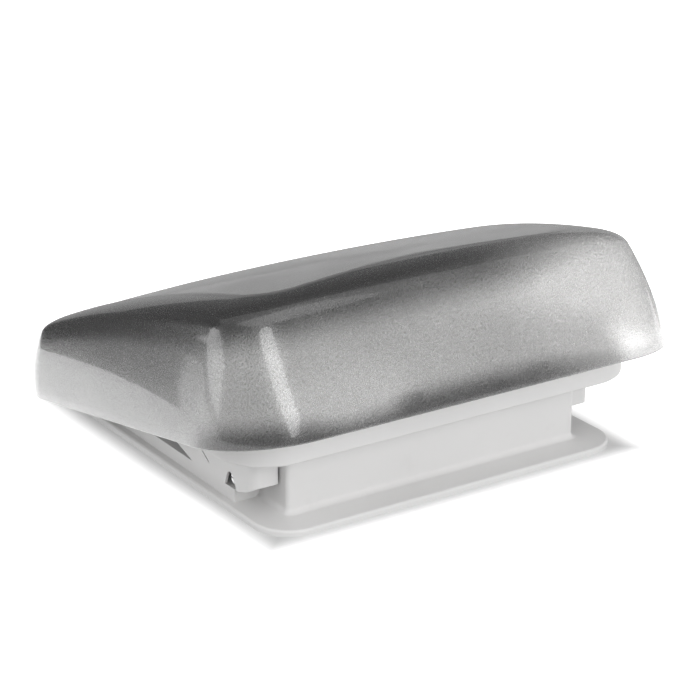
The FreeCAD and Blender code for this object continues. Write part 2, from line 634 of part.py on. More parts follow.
def hinge_arm():
    """Right-hand arm: a channel open below, with a rib and a boss that hold the hinge pin."""
    x0, x1 = ARM_X
    solid = arm_profile(x0, x1, 18.0)
    corner = [e for e in solid.Edges if e.Length > 20 and abs(e.BoundBox.XMin - x1) < 0.01
              and e.BoundBox.YMax < PIVOT_Y - 29 and e.BoundBox.XLength < 0.01]
    solid = solid.makeFillet(8.0, corner)
    inside_x = (x0 + ARM_SKIN[0], x1 - ARM_SKIN[1])
    hollow = side_block([(PIVOT_Y - 27.0, 0), (100, 0), (100, deck_low(100) - 3), (DECK_BEND, BAND_Z[0] - 3),
                         (PIVOT_Y - 27.0, BAND_Z[0] - 3)], *inside_x)
    inner_corner = [e for e in hollow.Edges if abs(e.BoundBox.XMin - inside_x[1]) < 0.01
                    and e.BoundBox.YMax < PIVOT_Y - 26.9 and e.BoundBox.XLength < 0.01]
    hollow = hollow.makeFillet(6.0, inner_corner)
    shell = solid.cut(hollow).cut(notch())
    rib = side_block([(-115, BAND_Z[0] - 1), (-113, 24), (-104, 19.8), (-95, 19.8), (-84, 24),
                      (-80, BAND_Z[0] - 1)], *RIB_X)
    boss = rod(6.2, (inside_x[0] - 0.5, PIVOT_Y, PIVOT_Z), (1, 0, 0), 4.0)
    body = union([shell, rib, boss])
    body = body.cut(rod(PIN_R, (x0 - 1, PIVOT_Y, PIVOT_Z), (1, 0, 0), 20))
    body = body.cut(rod(HEAD_R + 0.3, (x1 - ARM_SKIN[1] - 1, PIVOT_Y, PIVOT_Z), (1, 0, 0), 2.2))
    slit = side_block([(-62.8, 25.7), (-61.8, 27.8), (-51.3, 34.4), (-52.3, 32.3)], x1 - 3, x1 + 1)
    body = body.cut(slit)
    for x, y in arm_screw_places():
        if x > 0:
            body = body.cut(rod(CLEARANCE_R, (x, y, 40), (0, 0, 1), 30))
    return body


def hinge_pin():
    """Pin with a slotted head, whose end shows in the notch."""
    x1 = RIB_X[1] + WASHER_T
    end = ARM_X[1] - ARM_SKIN[1] + 1.0
    shank = rod(PIN_R, (ARM_X[0], PIVOT_Y, PIVOT_Z), (1, 0, 0), x1 - ARM_X[0])
    head = rod(HEAD_R, (x1, PIVOT_Y, PIVOT_Z), (1, 0, 0), end - x1)
    slot = box(end - 1.0, end + 1, PIVOT_Y - 6, PIVOT_Y + 6, PIVOT_Z - 0.6, PIVOT_Z + 0.6)
    return shank.fuse(head).removeSplitter().cut(slot)


def pin_washer():
    return sleeve(5.2, PIN_R, (RIB_X[1], PIVOT_Y, PIVOT_Z), (1, 0, 0), WASHER_T)


def arm_screws():
    return group([screw(x, y, BAND_Z[0] + DECK_T, (0, 0, -1), 8.0) for x, y in arm_screw_places()])


def mix(a, b, t):
    return a + (b - a) * t


def plane_through(y0, z0, y1, z1):
    return lambda y: z0 + (z1 - z0) * (y - y0) / (y1 - y0)


def dome_section(dims, z0, z1):
    return outline(dims["wn"], dims["wf"], dims["y0"], dims["y1"], dims["rn"], dims["rf"],
                   plane_through(dims["y0"], z0, dims["y1"], z1))


def dome_ring(inset, drop, up):
    """Outlines of the dome from its lower edge to near the middle of its top.

    The wall is a straight run between the lower edge and the sharp shoulder, with a slight bulge. The
    shoulder is a quadratic curve from the wall to a point on the crowned top.
    """
    low_z = (edge_z(DOME_LOW["y0"]), edge_z(DOME_LOW["y1"]))

    def wall(s):
        dims = {key: mix(DOME_LOW[key], DOME_HIGH[key], s) for key in DOME_LOW}
        out = BULGE * 4 * s * (1 - s) - inset
        dims["wn"] += out
        dims["wf"] += out
        dims["y0"] -= out
        dims["y1"] += out
        return dims, mix(low_z[0], HIGH_Z[0], s), mix(low_z[1], HIGH_Z[1], s)

    start = wall(1 - ROUND_DOWN)
    corner = wall(1.0)
    near, far = ROUND_IN
    length = DOME_HIGH["y1"] - DOME_HIGH["y0"]
    fall = HIGH_Z[1] - HIGH_Z[0]
    inner = {"wn": DOME_HIGH["wn"] - ROUND_SIDE[0], "wf": DOME_HIGH["wf"] - ROUND_SIDE[1],
             "y0": DOME_HIGH["y0"] + near, "y1": DOME_HIGH["y1"] - far, "rn": 30.0, "rf": 36.0}
    end = (inner, HIGH_Z[0] + fall * near / length + CROWN[0], HIGH_Z[1] - fall * far / length + CROWN[1])
    sections = [wall(s) for s in (0.0 - up, 0.25, 0.5)] + [start]
    for t in (0.25, 0.5, 0.75):
        parts = ((1 - t) ** 2, 2 * t * (1 - t), t * t)
        dims = {key: sum(w * c[0][key] for w, c in zip(parts, (start, corner, end))) for key in inner}
        z0 = sum(w * c[1] for w, c in zip(parts, (start, corner, end)))
        z1 = sum(w * c[2] for w, c in zip(parts, (start, corner, end)))
        sections.append((dims, z0 - drop * t, z1 - drop * t))
    sections.append((inner, end[1] - drop, end[2] - drop))
    middle = (inner["y0"] + inner["y1"]) / 2
    for scale, lift in CROWN_RINGS:
        dims = {"wn": inner["wn"] * scale, "wf": inner["wf"] * scale, "rn": inner["rn"] * scale,
                "rf": inner["rf"] * scale, "y0": middle + (inner["y0"] - middle) * scale,
                "y1": middle + (inner["y1"] - middle) * scale}
        centre = (end[1] + end[2]) / 2 + lift - drop
        half = (end[2] - end[1]) / 2 * scale
        sections.append((dims, centre - half, centre + half))
    return [dome_section(*section) for section in sections]


def dome():
    outer = Part.makeLoft(dome_ring(0.0, 0.0, 0.0), True, True)
    inner = Part.makeLoft(dome_ring(DOME_T, DOME_T, 0.06), True, True)
    shell = outer.cut(inner)
    lugs = []
    for x, y in fixing_places():
        out_x, out_y = (16.0, LUG / 2) if abs(x) > 100 else (LUG / 2, 16.0)
        lugs.append(box(x - LUG / 2, x + LUG / 2, y - LUG / 2, y + LUG / 2, 0, 140))
        lugs.append(box(*sorted((x - math.copysign(LUG / 2, x), x + math.copysign(out_x, x))),
                        *sorted((y - math.copysign(LUG / 2, y), y + math.copysign(out_y, y))), 0, 140))
    high = SHELF_UP + SHELF_T
    posts = lugs[0].multiFuse(lugs[1:]).common(slope_slab(high, high + 8.0)).common(outer)
    body = union([shell] + posts.Solids)
    holes = [slope_rod(CLEARANCE_R, x, y, high - 1, 7.0) for x, y in fixing_places()]
    return body.cut(holes[0].multiFuse(holes[1:]))


def dome_screws():
    n = slope_normal()
    screws = []
    for x, y in fixing_places():
        seat = V(x, y, edge_z(y)) + n * (SHELF_UP * n.z)
        screws.append(screw(seat.x, seat.y, seat.z, (n.x, n.y, n.z), 8.0))
    return group(screws)


def lift_bracket():
    """Bracket on the lid frame's nose side, with two slotted cheeks round the lift pin."""
    y0, y1 = BRACKET_Y
    plate = box(-BRACKET_X, BRACKET_X, y0, y1, THROAT_TOP, THROAT_TOP + 3.0)
    cheeks = both_sides(box(3.4, 6.0, y0, y0 + 18.0, 53.0, THROAT_TOP + 1))
    body = union([plate] + cheeks)
    pin = arm_point(ARM_LEN, 0)
    mid = pin.y - 0.6
    half = LIFT_PIN_R + 0.35
    slot = box(-10, 10, mid - 2.3, mid + 2.3, pin.z - half, pin.z + half)
    ends = [rod(half, (-10, mid + s * 2.3, pin.z), (1, 0, 0), 20) for s in (-1, 1)]
    body = body.cut(slot.multiFuse(ends))
    for x in bracket_screw_xs():
        body = body.cut(rod(PILOT_R, (x, y1 - 6, THROAT_TOP - 1), (0, 0, 1), 6))
    return body


def bracket_screws():
    return group([screw(x, BRACKET_Y[1] - 6, THROAT_TOP + 3, (0, 0, -1), 8.0, 1.5, 3.2, 1.8)
                  for x in bracket_screw_xs()])


def main():
    os.makedirs("parts", exist_ok=True)
    save("base_frame", base_frame())
    save("roof_gasket", gasket_ring())
    save("curb_seal", curb_seal())
    save("pivot_bushes", pivot_bushes())
    save("screen_frame", screen_frame())
    save("screen_mesh", screen_mesh())
    save("screen_clips", screen_clips())
    save("clip_screws", clip_screws())
    save("drive_housing", drive_housing())
    save("drive_cover", drive_cover())
    save("housing_screws", housing_screws())
    save("throat_cover", throat_cover())
    save("cover_screws", cover_screws())
    save("lift_arm", lift_arm())
    save("lift_pin", lift_pin())
    save("arm_shaft", arm_shaft())
    save("shaft_clips", shaft_clips())
    save("worm_wheel", worm_wheel())
    save("worm_spindle", worm())
    save("crank_knob", crank_knob())
    save("knob_screw", knob_screw())
    save("lid_frame", lid_frame())
    right = hinge_arm()
    save("right_hinge_arm", right)
    save("left_hinge_arm", right.mirror(V(0, 0, 0), V(1, 0, 0)))
    save("hinge_pins", group(both_sides(hinge_pin())))
    save("pin_washers", group(both_sides(pin_washer())))
    save("arm_screws", arm_screws())
    save("dome", dome())
    save("dome_screws", dome_screws())
    save("lift_bracket", lift_bracket())
    save("bracket_screws", bracket_screws())


main()
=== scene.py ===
import json
import math

import bpy
import numpy as np
from mathutils import Matrix, Vector


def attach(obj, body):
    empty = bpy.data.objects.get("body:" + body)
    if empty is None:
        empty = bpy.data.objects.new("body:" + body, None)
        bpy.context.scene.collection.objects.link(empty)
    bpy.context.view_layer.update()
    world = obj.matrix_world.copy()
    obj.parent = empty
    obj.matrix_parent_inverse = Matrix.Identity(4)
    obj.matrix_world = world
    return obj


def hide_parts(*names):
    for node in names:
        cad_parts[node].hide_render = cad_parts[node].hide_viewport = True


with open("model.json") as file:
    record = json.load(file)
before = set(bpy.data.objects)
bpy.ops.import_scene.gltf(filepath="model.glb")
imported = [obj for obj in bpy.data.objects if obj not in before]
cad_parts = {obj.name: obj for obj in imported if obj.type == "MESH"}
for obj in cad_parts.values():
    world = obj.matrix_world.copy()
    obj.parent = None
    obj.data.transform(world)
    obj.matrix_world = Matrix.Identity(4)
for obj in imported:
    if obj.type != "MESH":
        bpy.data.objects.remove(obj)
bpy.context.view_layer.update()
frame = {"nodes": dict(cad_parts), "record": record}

MM = 0.001
RISE = "rise"                       # the dome's point attribute that its finish follows


# ---------------------------------------------------------------- shader maths

class Wire:
    """A number, colour or vector that runs along a node link, with operators that add Math nodes."""

    def __init__(self, finish, socket):
        self.finish = finish
        self.socket = socket

    def math(self, operation, *values):
        return self.finish.node("ShaderNodeMath", {"operation": operation}, dict(enumerate([self, *values])))

    def __add__(self, other):
        return self.math("ADD", other)

    def __radd__(self, other):
        return self.math("ADD", other)

    def __sub__(self, other):
        return self.math("SUBTRACT", other)

    def __rsub__(self, other):
        return self.finish.node("ShaderNodeMath", {"operation": "SUBTRACT"}, {0: other, 1: self})

    def __mul__(self, other):
        return self.math("MULTIPLY", other)

    def __rmul__(self, other):
        return self.math("MULTIPLY", other)

    def __truediv__(self, other):
        return self.math("DIVIDE", other)

    def __pow__(self, other):
        return self.math("POWER", other)

    def __abs__(self):
        return self.math("ABSOLUTE")

    def least(self, other):
        return self.math("MINIMUM", other)

    def most(self, other):
        return self.math("MAXIMUM", other)

    def ramp(self, low, high):
        """0 below low, 1 above high, and smooth between; high may be the lower of the two."""
        inputs = {"Value": self, "From Min": low, "From Max": high}
        return self.finish.node("ShaderNodeMapRange", {"interpolation_type": "SMOOTHSTEP"}, inputs)


class Finish:
    """A material with one Principled shader, and helpers that add its nodes."""

    def __init__(self, name, **constants):
        self.material = bpy.data.materials.new(name)
        self.material.use_nodes = True
        self.tree = self.material.node_tree
        self.shader = self.tree.nodes["Principled BSDF"]
        for socket, value in constants.items():
            self.shader.inputs[socket.replace("_", " ")].default_value = value

    def node(self, kind, settings=None, inputs=None, output=0):
        """A new node's output, after its settings and then its inputs, which are values or wires."""
        made = self.tree.nodes.new(kind)
        for name, value in (settings or {}).items():
            setattr(made, name, value)
        for name, value in (inputs or {}).items():
            if isinstance(value, Wire):
                self.tree.links.new(value.socket, made.inputs[name])
            else:
                made.inputs[name].default_value = value
        return Wire(self, made.outputs[output])

    def place(self):
        """Object coordinates in metres."""
        return self.node("ShaderNodeTexCoord", output="Object")

    def axes(self):
        """The x, y and z of Object coordinates."""
        split = self.tree.nodes.new("ShaderNodeSeparateXYZ")
        self.tree.links.new(self.place().socket, split.inputs[0])
        return [Wire(self, split.outputs[i]) for i in range(3)]

    def noise(self, scale, detail=2.0, rough=0.5, place=None):
        inputs = {"Vector": place or self.place(), "Scale": scale, "Detail": detail, "Roughness": rough}
        return self.node("ShaderNodeTexNoise", {}, inputs)

    def blend(self, amount, first, second):
        """Colour between first and second by amount."""
        return self.node("ShaderNodeMix", {"data_type": "RGBA"}, {0: amount, 6: first, 7: second}, output=2)

    def bump(self, height, strength, distance, normal=None):
        inputs = {"Height": height, "Strength": strength, "Distance": distance}
        if normal is not None:
            inputs["Normal"] = normal
        return self.node("ShaderNodeBump", {}, inputs)

    def feed(self, **sockets):
        for name, wire in sockets.items():
            self.tree.links.new(wire.socket, self.shader.inputs[name.replace("_", " ")])
        return self.material


def grey(value, warmth=0.0):
    """Grey colour, with a part more red and less blue by warmth."""
    return (value * (1 + warmth), value, value * (1 - warmth), 1.0)


# ---------------------------------------------------------------- finishes

def white_plastic():
    """Satin white moulding: fine spark-eroded texture, faint flow marks, and dust in the low places."""
    f = Finish("white_plastic", IOR=1.5, Specular_IOR_Level=0.45)
    x, y, z = f.axes()
    flow = f.noise(9.0, 3.0)
    grain = f.noise(2600.0, 2.0)
    dust = f.noise(60.0, 5.0, 0.65).ramp(0.55, 0.8) * z.ramp(0.05, 0.0)
    colour = f.blend(flow, grey(0.68, 0.006), grey(0.73, 0.004))
    colour = f.blend(dust * 0.12, colour, grey(0.45, 0.02))
    rough = 0.36 + flow * 0.10 + grain * 0.06
    return f.feed(Base_Color=colour, Roughness=rough, Normal=f.bump(grain, 0.12, 0.0002))


def black_rubber():
    """Cellular rubber: pores and a dull bloom."""
    f = Finish("black_rubber", IOR=1.45, Specular_IOR_Level=0.3)
    pores = f.node("ShaderNodeTexVoronoi", {}, {"Vector": f.place(), "Scale": 900.0})
    bloom = f.noise(45.0, 4.0)
    colour = f.blend(bloom, grey(0.028), grey(0.06, 0.01))
    return f.feed(Base_Color=colour, Roughness=0.7 + bloom * 0.2, Normal=f.bump(pores, 0.4, 0.0004))


def zinc_steel():
    """Zinc-plated steel: brushed lines and soft crystalline patches."""
    f = Finish("zinc_steel", Metallic=1.0)
    streaks = f.node("ShaderNodeMapping", {}, {"Vector": f.place(), "Scale": (180.0, 2200.0, 2200.0)})
    lines = f.noise(1.0, 3.0, place=streaks)
    patches = f.node("ShaderNodeTexVoronoi", {}, {"Vector": f.place(), "Scale": 220.0}, output="Color")
    tone = f.node("ShaderNodeSeparateXYZ", {}, {0: patches})
    colour = f.blend(tone * 0.5 + lines * 0.3, grey(0.50, -0.01), grey(0.72, 0.004))
    return f.feed(Base_Color=colour, Roughness=0.24 + lines * 0.2, Normal=f.bump(lines, 0.1, 0.0002))


def grey_nylon():
    """Moulded nylon: faint mottle in the colour, the gloss and the surface."""
    f = Finish("grey_nylon", IOR=1.53, Specular_IOR_Level=0.4)
    mottle = f.noise(320.0, 4.0)
    colour = f.blend(mottle, grey(0.36, 0.01), grey(0.44, 0.01))
    return f.feed(Base_Color=colour, Roughness=0.42 + mottle * 0.16, Normal=f.bump(mottle, 0.15, 0.0003))


def knob_plastic():
    """Knob moulding with a fine leather grain for the fingers."""
    f = Finish("knob_plastic", IOR=1.5, Specular_IOR_Level=0.45)
    leather = f.node("ShaderNodeTexVoronoi", {"feature": "SMOOTH_F1"}, {"Vector": f.place(), "Scale": 1400.0})
    tone = f.noise(30.0, 3.0)
    colour = f.blend(tone, grey(0.42, 0.01), grey(0.48, 0.01))
    return f.feed(Base_Color=colour, Roughness=0.4 + leather * 0.25, Normal=f.bump(leather, 0.3, 0.0003))


def screen_cloth():
    """Woven fly screen: two sets of round threads, open between them."""
    f = Finish("screen_cloth", IOR=1.5, Specular_IOR_Level=0.3)
    pitch = 1.6 * MM
    x, y, z = f.axes()
    across = abs((x / pitch).math("FRACT") - 0.5)
    along = abs((y / pitch).math("FRACT") - 0.5)
    thread = across.least(along)
    open_part = thread.ramp(0.11, 0.15)
    tone = f.noise(500.0, 2.0)
    colour = f.blend(tone, grey(0.05), grey(0.11))
    return f.feed(Base_Color=colour, Alpha=1 - open_part, Roughness=0.55 + tone * 0.2,
                  Normal=f.bump(1 - thread, 0.5, 0.0004))


def smoked_acrylic():
    """Smoke-tinted acrylic: walls with a fine grain under a polished face, and a clear, faintly wavy top.

    The tone is 0 where the walls are lightest and 1 where they are darkest. Apart from its grain and cloud it
    is painted
    shade and light: painted shade high in the shoulder, along the bottom of the hinge-end wall, over that
    whole wall and on the left and nose walls; painted light towards the right of the hinge-end wall, and in a
    light patch low on its left.
    """
    f = Finish("smoked_acrylic", IOR=1.49, Specular_IOR_Level=0.5, Transmission_Weight=0.76,
               Coat_Roughness=0.06)
    up = f.node("ShaderNodeAttribute", {"attribute_name": RISE}, output="Fac")
    x, y, z = f.axes()
    grain = f.noise(1000.0, 1.0, 0.7).ramp(0.3, 0.7) - 0.5
    cloud = f.noise(14.0, 4.0) - 0.5
    wave = f.noise(9.0, 1.0)
    top = up.ramp(0.97, 1.0)
    # painted shade: the walls darken into the shoulder, a little less towards the right
    shoulder = up.ramp(0.58, 0.86) * (0.8 - x.ramp(0.0, 0.18) * 0.25)
    hinge_end = y.ramp(-0.12, -0.16)
    # painted shade: the left and nose walls darker, away from the hinge end
    side = x.ramp(0.12, -0.1) * (1 - hinge_end)
    # painted light: a lighter patch low on the left of the hinge-end wall
    patch = ((x + 0.115) ** 2 + (z - 0.122) ** 2 * 4).math("SQRT").ramp(0.07, 0.01) * hinge_end
    # painted shade along the bottom of the hinge-end wall, except in the patch
    foot_shade = up.ramp(0.24, 0.03) * hinge_end * (1 - patch)
    # painted light towards the right of the hinge-end wall and in the patch
    painted_light = (x.ramp(0.02, 0.16) * 0.7 + patch * 0.25) * hinge_end
    # painted shade and light summed, with the whole hinge-end wall a step darker; the grain and cloud added
    # next are the sheet's own
    tone = shoulder + foot_shade * 0.85 + hinge_end * 0.12 + side * 0.64 - painted_light
    tone = tone + grain * 0.3 * (1 - top) + cloud * 0.15
    walls = f.blend(tone.most(0.0).least(1.0), grey(0.86, 0.004), grey(0.08, 0.004))
    colour = f.blend(top, walls, grey(0.5, 0.003))
    rough = (0.24 + grain * 0.08) * (1 - top) + 0.05 * top
    grain_bump = f.bump(grain * (1 - top), 0.2, 0.0003)
    bump = f.bump(wave * top, 0.5, 0.003, grain_bump)
    return f.feed(Base_Color=colour, Roughness=rough, Coat_Weight=0.8 * (1 - top), Normal=bump)


# ---------------------------------------------------------------- surfaces

def mesh_piece(name, points, faces, body, material):
    """A smooth-shaded piece from points in metres, riding on a CAD body."""
    mesh = bpy.data.meshes.new(name)
    mesh.from_pydata(np.asarray(points).tolist(), [], np.asarray(faces).tolist())
    mesh.update()
    mesh.polygons.foreach_set("use_smooth", np.ones(len(mesh.polygons), bool))
    mesh.materials.append(material)
    piece = bpy.data.objects.new(name, mesh)
    bpy.context.scene.collection.objects.link(piece)
    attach(piece, body)
    return piece


def grid_faces(rows, columns, wrap):
    """Quads of a rows x columns grid of points, closed across the columns if wrap."""
    i = np.arange(rows - 1)[:, None]
    j = np.arange(columns if wrap else columns - 1)[None, :]
    k = (j + 1) % columns
    quads = np.stack([i * columns + j, i * columns + k, (i + 1) * columns + k, (i + 1) * columns + j], -1)
    return quads.reshape(-1, 4)


# The dome, in millimetres as the frame was designed
LOW = dict(wn=219.5, wf=211.0, y0=-203.9, y1=206.5, rn=68.0, rf=66.0)
HIGH = dict(wn=188.5, wf=203.8, y0=-153.8, y1=175.4, rn=37.7, rf=43.1)
EDGE_Z = 94.5
EDGE_SLOPE = -0.211
HIGH_Z = (183.5, 74.3)              # height of the shoulder at the hinge end and at the nose
ROUND_DOWN = 0.138                  # where the shoulder's round starts, as a part of the wall
ROUND_IN = (58.5, 29.7)             # how far the round reaches in, at the hinge end and at the nose
ROUND_SIDE = (46.2, 20.7)           # the same on the side walls
BULGE = 5.0                         # how far the wall stands out in the middle of its height
CROWN_Y = 14.4                      # crown of the top along y and across x
CROWN_X = 6.5
WALL = 2.5
SIDE_STEPS = 40                     # points along each run of an outline
WALL_ROWS = 14
SHOULDER_ROWS = 16
WALL_RISE = 0.8                     # rise where the shoulder's round starts; it is 1 where the round ends
TOP_RISE = 1.5
RIM_ANGLES = (30.0, 60.0, 90.0, 120.0, 150.0)

# The blocks round the dome's screws, in the same millimetres
SHELF_TOP = 6.5                     # the lid frame's shelf above the dome's lower edge
SCREW_SIDE_YS = (-85.0, 10.0, 105.0)
SCREW_SIDE_IN = 10.0                # side screws stand this far in from the lower edge
SCREW_END_IN = 12.0                 # and the screws at the nose and the hinge end this far
SCREW_NOSE_X = 80.0
SCREW_HINGE_X = 60.0
LUG_HALF = 6.0
LUG_CORNER = 1.5
LUG_HEIGHT = 8.0
LUG_CHAMFER = 0.6
LUG_STEPS = 8
LUG_REACH = dict(side=7.2, nose=8.2, hinge=6.4)     # from the screw's axis out into the wall


def dome_outline(dims, steps=SIDE_STEPS):
    """Plan of one level: four quarter arcs joined by straight sides, with 4 x steps points.

    Each run goes from the middle of one corner to the middle of the next, so that the runs can carry the
    four sides of a square grid. It starts at the middle of the corner at -x, y0 and goes round
    counter-clockwise. Angles are spread evenly on the arcs and lengths evenly on the sides.
    """
    wn, wf, y0, y1, rn, rf = (dims[key] for key in ("wn", "wf", "y0", "y1", "rn", "rf"))
    centres = np.array([(-wn + rn, y0 + rn), (wn - rn, y0 + rn), (wf - rf, y1 - rf), (-wf + rf, y1 - rf)])
    radii = np.array([rn, rn, rf, rf])
    starts = np.radians([180.0, 270.0, 0.0, 90.0])
    arc = steps // 4
    runs = []
    for n in range(4):
        m = (n + 1) % 4
        turn = np.linspace(math.pi / 4, math.pi / 2, arc + 1)[:, None]
        first = centres[n] + radii[n] * np.hstack([np.cos(starts[n] + turn), np.sin(starts[n] + turn)])
        turn = np.linspace(0, math.pi / 4, arc + 1)[:, None]
        last = centres[m] + radii[m] * np.hstack([np.cos(starts[m] + turn), np.sin(starts[m] + turn)])
        share = np.linspace(0, 1, steps - 2 * arc + 1)[1:-1, None]
        straight = first[-1] + (last[0] - first[-1]) * share
        runs.append(np.vstack([first, straight, last])[:-1])
    return np.vstack(runs)


def low_height(y):
    return EDGE_Z + EDGE_SLOPE * (y - LOW["y0"])


def along(y):
    """0 at the hinge-end shoulder, 1 at the nose shoulder."""
    return (y - HIGH["y0"]) / (HIGH["y1"] - HIGH["y0"])


def between(ends, t):
    return ends[0] + (ends[1] - ends[0]) * t


def top_height(x, y):
    """Crowned top: a falling chord, plus a parabola along y and one across x."""
    t = along(y)
    half = between((HIGH["wn"], HIGH["wf"]), t)
    return between(HIGH_Z, t) + CROWN_Y * 4 * t * (1 - t) + CROWN_X * (1 - (x / half) ** 2)


def dome_skin():
    """Points and rise of the dome's skin: wall rows, shoulder rows, then a square top.

    A wall point runs straight from the lower edge to the sharp shoulder, pushed out by a parabola. The
    shoulder is a quadratic curve from the wall to a point on the crowned top. The top's plan is a
    transfinite patch between the four runs of its outline. rise is 0 at the lower edge and 1 where the
    shoulder meets the top.
    """
    low = dome_outline(LOW)
    high = dome_outline(HIGH)
    centre = np.array([0.0, (HIGH["y0"] + HIGH["y1"]) / 2])
    out = (high - centre) / np.linalg.norm(high - centre, axis=1)[:, None]
    t = along(high[:, 1:])
    sideways = out[:, :1] ** 2
    reach = between(ROUND_IN, t) * (1 - sideways) + between(ROUND_SIDE, t) * sideways
    low3 = np.column_stack([low, low_height(low[:, 1])])
    high3 = np.column_stack([high, top_height(*high.T)])
    inner = high - out * reach
    inner3 = np.column_stack([inner, top_height(*inner.T)])

    def wall(s):
        row = low3 + (high3 - low3) * s
        row[:, :2] += out * (BULGE * 4 * s * (1 - s))
        return row

    start = wall(1 - ROUND_DOWN)
    rows = [wall(s) for s in np.linspace(0, 1 - ROUND_DOWN, WALL_ROWS)]
    rises = list(np.linspace(0, WALL_RISE, WALL_ROWS))
    for s in np.linspace(0, 1, SHOULDER_ROWS + 1)[1:]:
        rows.append((1 - s) ** 2 * start + 2 * s * (1 - s) * high3 + s * s * inner3)
        rises.append(between((WALL_RISE, 1.0), s))
    return np.array(rows), np.array(rises), square_patch(inner)


def square_patch(ring):
    """Transfinite patch between the four equal runs of a closed ring of plan points."""
    n = len(ring) // 4
    a, b, c, d = (np.roll(ring, -k * n, axis=0)[: n + 1] for k in range(4))
    c = c[::-1]
    d = d[::-1]
    u = np.linspace(0, 1, n + 1)[:, None, None]
    v = np.linspace(0, 1, n + 1)[None, :, None]
    sides = (1 - v) * a[:, None] + v * c[:, None] + (1 - u) * d[None] + u * b[None]
    corners = (1 - u) * (1 - v) * a[0] + u * (1 - v) * a[-1] + (1 - u) * v * c[0] + u * v * c[-1]
    return sides - corners


def dome_shell():
    """Outer skin of the dome as one sheet, with the rise of each point and how many go round it.

    The top's patch is lifted to the crowned height, and its edge is the last row of the shoulder.
    """
    rows, rises, patch = dome_skin()
    count = rows.shape[1]
    top = np.dstack([patch, top_height(patch[..., 0], patch[..., 1])]).reshape(-1, 3)
    size = count // 4 + 1
    edge = square_edge(size)
    inside = np.setdiff1d(np.arange(size * size), edge)
    points = np.vstack([rows.reshape(-1, 3), top[inside]])
    index = np.empty(size * size, int)
    index[edge] = (len(rows) - 1) * count + np.arange(count)
    index[inside] = rows.shape[0] * count + np.arange(len(inside))
    faces = np.vstack([grid_faces(len(rows), count, True), index[grid_faces(size, size, False)][:, ::-1]])
    rise = np.concatenate([np.repeat(rises, count), np.full(len(inside), TOP_RISE)])
    return points, faces, rise, count


def square_edge(size):
    """Indices round a size x size grid, in the order of the ring that its patch was made from."""
    k = np.arange(size - 1)
    return np.concatenate([k * size, (size - 1) * size + k, (size - 1 - k) * size + size - 1, size - 1 - k])


def make_dome(material):
    """Closed acrylic shell: the outer skin, the same skin moved in along its normals, and a half-round rim.

    The rim's rows turn about the middle of the sheet's edge, from the outer skin round to the inner one.
    """
    points, faces, rise, count = dome_shell()
    normals = vertex_normals(points, faces)
    inner = points - normals * WALL
    total = len(points)
    middle = (points[:count] + inner[:count]) / 2
    aside = (points[:count] - inner[:count]) / 2
    down = points[:count] - points[count:2 * count]
    down -= normals[:count] * (down * normals[:count]).sum(axis=1)[:, None]
    down *= WALL / 2 / np.linalg.norm(down, axis=1)[:, None]
    rim = np.vstack([middle + aside * math.cos(a) + down * math.sin(a) for a in np.radians(RIM_ANGLES)])
    index = np.vstack([np.arange(count), 2 * total + np.arange(len(rim)).reshape(-1, count),
                       total + np.arange(count)])
    lip = index.ravel()[grid_faces(len(index), count, True)][:, ::-1]
    shell = np.vstack([points, inner, rim])
    piece = mesh_piece("smoked_dome", shell * MM, np.vstack([faces, faces[:, ::-1] + total, lip]),
                       "lid", material)
    attribute = piece.data.attributes.new(RISE, "FLOAT", "POINT")
    value = np.concatenate([rise, rise, np.zeros(len(rim))])
    attribute.data.foreach_set("value", value.astype(np.float32))
    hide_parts("dome")


def lug_places():
    """Centre and half sizes of the blocks round the dome's screws: square, but stretched out to the wall."""
    out = {key: (reach - LUG_HALF) / 2 for key, reach in LUG_REACH.items()}
    half = {key: (reach + LUG_HALF) / 2 for key, reach in LUG_REACH.items()}
    places = []
    for y in SCREW_SIDE_YS:
        edge = between((LOW["wn"], LOW["wf"]), (y - LOW["y0"]) / (LOW["y1"] - LOW["y0"]))
        x = edge - SCREW_SIDE_IN + out["side"]
        places += [(-x, y, half["side"], LUG_HALF), (x, y, half["side"], LUG_HALF)]
    nose = LOW["y1"] - SCREW_END_IN + out["nose"]
    hinge = LOW["y0"] + SCREW_END_IN - out["hinge"]
    places += [(side * SCREW_NOSE_X, nose, LUG_HALF, half["nose"]) for side in (-1, 1)]
    places += [(side * SCREW_HINGE_X, hinge, LUG_HALF, half["hinge"]) for side in (-1, 1)]
    return places


def make_lugs(material):
    """Blocks on the sloping shelf: four rings each, the end ones drawn in and closed by strips across."""
    points = []
    faces = []
    for x, y, half_x, half_y in lug_places():
        corners = dict(rn=LUG_CORNER, rf=LUG_CORNER)
        ring = dome_outline(dict(wn=half_x, wf=half_x, y0=-half_y, y1=half_y, **corners), LUG_STEPS)
        count = len(ring)
        start = len(points) * count
        for height in (0.0, LUG_CHAMFER, LUG_HEIGHT - LUG_CHAMFER, LUG_HEIGHT):
            inset = LUG_CHAMFER if height in (0.0, LUG_HEIGHT) else 0.0
            plan = ring * (1 - inset / LUG_HALF) + (x, y)
            points.append(np.column_stack([plan, low_height(plan[:, 1]) + SHELF_TOP + height]))
        k = np.arange(count // 2 - 1)
        cap = np.stack([k, k + 1, count - 2 - k, count - 1 - k], -1)
        faces.append(np.vstack([grid_faces(4, count, True), cap[:, ::-1], cap + 3 * count]) + start)
    mesh_piece("dome_lugs", np.vstack(points) * MM, np.vstack(faces), "lid", material)


def vertex_normals(points, faces):
    """Area-weighted normals of a mesh of quads."""
    a, b, c, d = (points[faces[:, k]] for k in range(4))
    flat = np.cross(c - a, d - b)
    total = np.zeros_like(points)
    for k in range(4):
        np.add.at(total, faces[:, k], flat)
    return total / np.linalg.norm(total, axis=1)[:, None]


# ---------------------------------------------------------------- scene

def paint(name, material):
    node = frame["nodes"][name]
    node.data.materials.clear()
    node.data.materials.append(material)


